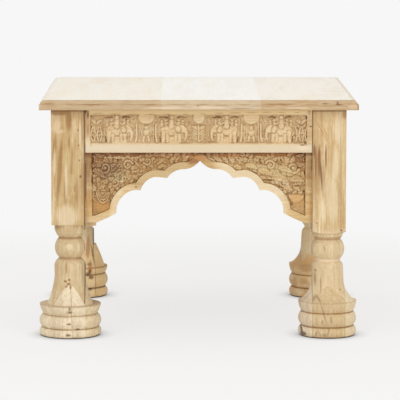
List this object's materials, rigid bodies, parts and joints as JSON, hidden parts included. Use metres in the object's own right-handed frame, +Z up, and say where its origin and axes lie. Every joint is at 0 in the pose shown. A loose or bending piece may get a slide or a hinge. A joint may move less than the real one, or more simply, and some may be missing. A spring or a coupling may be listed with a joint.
{
  "type": "low table",
  "caption": "Low square bajot table with turned legs, carved frieze rails and cusped arch panels under a moulded plank top.",
  "frame": {"origin": "on the floor under the middle of the table top", "axes": "+X to the right and +Y to the back as seen from the front, +Z up"},
  "size_m": [0.6074, 0.6078, 0.452],
  "materials": {
    "top_wood": "sanded pale bleached hardwood, dry and matt",
    "leg_wood": "sanded light hardwood with tan streaks, dry and matt",
    "rail_wood": "carved light hardwood, dry and matt",
    "panel_wood": "carved light hardwood, browner in the cuts, dry and matt",
    "inner_wood": "sawn light hardwood",
    "steel": "plain steel wire and screws"
  },
  "bodies": {
    "root": {"back_arch_panel": "panel_wood", "back_batten": "inner_wood", "back_cleat_left": "inner_wood", "back_cleat_right": "inner_wood", "back_fixing_block": "inner_wood", "back_frieze_rail": "rail_wood", "back_left_foot_back_cheek": "leg_wood", "back_left_foot_front_cheek": "leg_wood", "back_left_foot_left_cheek": "leg_wood", "back_left_foot_right_cheek": "leg_wood", "back_left_leg_post": "leg_wood", "back_rail_nails": "steel", "back_right_foot_back_cheek": "leg_wood", "back_right_foot_front_cheek": "leg_wood", "back_right_foot_left_cheek": "leg_wood", "back_right_foot_right_cheek": "leg_wood", "back_right_leg_post": "leg_wood", "batten_screws": "steel", "fixing_block_screws": "steel", "front_arch_panel": "panel_wood", "front_batten": "inner_wood", "front_cleat_left": "inner_wood", "front_cleat_right": "inner_wood", "front_fixing_block": "inner_wood", "front_frieze_rail": "rail_wood", "front_left_foot_back_cheek": "leg_wood", "front_left_foot_front_cheek": "leg_wood", "front_left_foot_left_cheek": "leg_wood", "front_left_foot_right_cheek": "leg_wood", "front_left_leg_post": "leg_wood", "front_rail_nails": "steel", "front_right_foot_back_cheek": "leg_wood", "front_right_foot_front_cheek": "leg_wood", "front_right_foot_left_cheek": "leg_wood", "front_right_foot_right_cheek": "leg_wood", "front_right_leg_post": "leg_wood", "left_arch_panel": "panel_wood", "left_cleat_left": "inner_wood", "left_cleat_right": "inner_wood", "left_fixing_block": "inner_wood", "left_frieze_rail": "rail_wood", "left_rail_nails": "steel", "left_seam_dowels": "inner_wood", "right_arch_panel": "panel_wood", "right_cleat_left": "inner_wood", "right_cleat_right": "inner_wood", "right_fixing_block": "inner_wood", "right_frieze_rail": "rail_wood", "right_rail_nails": "steel", "right_seam_dowels": "inner_wood", "top_board_centre": "top_wood", "top_board_left": "top_wood", "top_board_right": "top_wood"}
  },
  "joints": []
}
